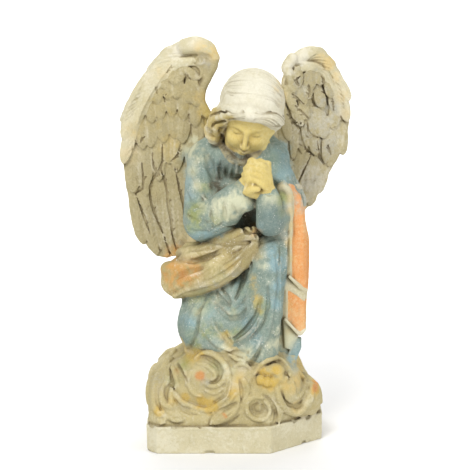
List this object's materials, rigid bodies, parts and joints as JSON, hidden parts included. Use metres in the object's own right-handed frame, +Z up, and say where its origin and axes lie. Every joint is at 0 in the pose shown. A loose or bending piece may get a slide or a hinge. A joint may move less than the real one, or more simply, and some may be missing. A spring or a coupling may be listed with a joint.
{
  "type": "cemetery angel statue",
  "caption": "Winged angel kneeling in prayer on a mound of scrolls over a low chamfered plinth, cast in one piece to stand on a grave or in a garden.",
  "frame": {"origin": "centre of the bounding box in plan, on the underside of the plinth", "axes": "+Z up, the figure faces -Y, +X towards the figure's left arm and the right side as seen from the front"},
  "size_m": [0.3359, 0.2158, 0.5526],
  "materials": {
    "painted_cement": "matt weathered paint over sandy cement, with lichen"
  },
  "bodies": {
    "root": {"angel_statue": "painted_cement"}
  },
  "joints": []
}
